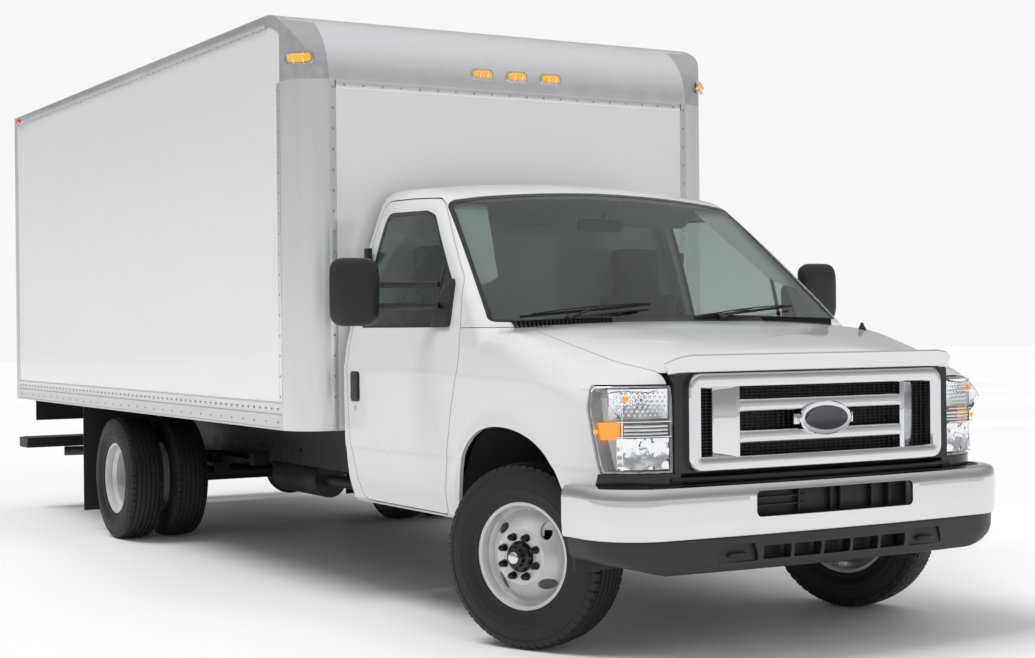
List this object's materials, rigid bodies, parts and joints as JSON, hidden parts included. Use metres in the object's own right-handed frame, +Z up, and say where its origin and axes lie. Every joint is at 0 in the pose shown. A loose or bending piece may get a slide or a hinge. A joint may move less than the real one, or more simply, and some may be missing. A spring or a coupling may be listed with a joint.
{
  "type": "box truck",
  "caption": "Medium-duty box truck: forward two-door cab on a ladder frame, rigid cargo body with a roll-up rear door, single front and twin rear wheels.",
  "frame": {"origin": "centre of the bounding box's footprint, on the ground", "axes": "-Y forward, +X to the driver's (left) side, +Z up"},
  "size_m": [2.804, 7.636, 2.805],
  "materials": {
    "cab_paint": "gloss",
    "box_paint": "satin",
    "bright_aluminium": "satin",
    "cast_aluminium": "matte",
    "chassis_black": "satin",
    "cast_iron": "matte",
    "exhaust_steel": "matte",
    "wheel_paint": "satin",
    "tyre": "matte",
    "flap_rubber": "matte",
    "chrome": "gloss",
    "black_plastic": "matte",
    "lamp_lens": "gloss",
    "amber_lens": "gloss",
    "tinted_glass": "gloss",
    "trim_plastic": "matte",
    "seat_fabric": "matte",
    "floor_wood": "satin"
  },
  "bodies": {
    "chassis": {"chassis_frame": "chassis_black", "engine_block": "cast_iron", "radiator": "chassis_black", "fuel_tank": "chassis_black", "exhaust_system": "exhaust_steel", "drive_shaft": "chassis_black", "front_axle_beams": "cast_iron", "rear_axle": "cast_iron", "rear_leaf_springs": "chassis_black", "cab_shell": "cab_paint", "cab_floor": "black_plastic", "fenders": "cab_paint", "grille": "chrome", "headlights": "lamp_lens", "front_bumper": "chrome", "bumper_valance": "black_plastic", "windshield": "tinted_glass", "dashboard": "trim_plastic", "seats": "seat_fabric", "box_floor": "floor_wood", "box_side_right": "box_paint", "box_side_left": "box_paint", "box_roof": "bright_aluminium", "box_front_wall": "box_paint", "box_corner_sheets": "bright_aluminium", "box_corner_caps": "cast_aluminium", "box_rails": "bright_aluminium", "rear_door_frame": "box_paint", "rear_door": "box_paint", "step_bumper": "chassis_black", "mudflaps": "flap_rubber", "lamps": "amber_lens"},
    "knuckle_right": {"knuckle_right": "cast_iron"},
    "knuckle_left": {"knuckle_left": "cast_iron"},
    "tie_rod": {"tie_rod": "chassis_black"},
    "wheel_front_right": {"front_wheel_right": "wheel_paint", "front_tyre_right": "tyre"},
    "wheel_front_left": {"front_wheel_left": "wheel_paint", "front_tyre_left": "tyre"},
    "wheels_rear_right": {"rear_wheels_right": "wheel_paint", "rear_tyres_right": "tyre"},
    "wheels_rear_left": {"rear_wheels_left": "wheel_paint", "rear_tyres_left": "tyre"},
    "steering_wheel": {"steering_wheel": "black_plastic"},
    "door_right": {"door_right": "cab_paint", "door_glass_right": "tinted_glass", "mirror_right": "black_plastic"},
    "door_left": {"door_left": "cab_paint", "door_glass_left": "tinted_glass", "mirror_left": "black_plastic"},
    "hood": {"hood": "cab_paint"}
  },
  "joints": [
    {"name": "steer_right", "type": "hinge", "parent": "chassis", "child": "knuckle_right", "pos_m": [-0.78, -2.943, 0.372], "axis": [0, 0, 1], "range_deg": [-58, 10]},
    {"name": "steer_left", "type": "hinge", "parent": "chassis", "child": "knuckle_left", "pos_m": [0.78, -2.943, 0.372], "axis": [0, 0, 1], "range_deg": [-58, 10]},
    {"name": "tie_rod_swing", "type": "hinge", "parent": "knuckle_right", "child": "tie_rod", "pos_m": [-0.82881, -2.83337, 0.284], "axis": [0, 0, 1], "range_deg": [-10, 58]},
    {"name": "steering_wheel_turn", "type": "hinge", "parent": "chassis", "child": "steering_wheel", "pos_m": [0.46, -2.303, 1.205], "axis": [0, 0.6428, 0.766], "range_deg": [-812, 140]},
    {"name": "spin_front_right", "type": "hinge", "parent": "knuckle_right", "child": "wheel_front_right", "pos_m": [-0.87272, -2.98428, 0.372], "axis": [0.9135, 0.4067, 0], "continuous": true},
    {"name": "spin_front_left", "type": "hinge", "parent": "knuckle_left", "child": "wheel_front_left", "pos_m": [0.87272, -2.90172, 0.372], "axis": [0.9135, 0.4067, 0], "continuous": true},
    {"name": "spin_rear_right", "type": "hinge", "parent": "chassis", "child": "wheels_rear_right", "pos_m": [-0.935, 1.527, 0.372], "axis": [1, 0, 0], "continuous": true},
    {"name": "spin_rear_left", "type": "hinge", "parent": "chassis", "child": "wheels_rear_left", "pos_m": [0.935, 1.527, 0.372], "axis": [1, 0, 0], "continuous": true},
    {"name": "door_right_swing", "type": "hinge", "parent": "chassis", "child": "door_right", "pos_m": [-1.01, -2.598, 1.1], "axis": [0, 0, 1], "range_deg": [0, 68]},
    {"name": "door_left_swing", "type": "hinge", "parent": "chassis", "child": "door_left", "pos_m": [1.01, -2.598, 1.1], "axis": [0, 0, -1], "range_deg": [0, 68]},
    {"name": "hood_lift", "type": "hinge", "parent": "chassis", "child": "hood", "pos_m": [0, -2.963, 1.275], "axis": [-1, 0, 0], "range_deg": [0, 48]}
  ],
  "couplings": [
    {"joint": "steer_left", "follows": "steer_right", "ratio": 1},
    {"joint": "tie_rod_swing", "follows": "steer_right", "ratio": -1},
    {"joint": "steering_wheel_turn", "follows": "steer_right", "ratio": 14}
  ]
}
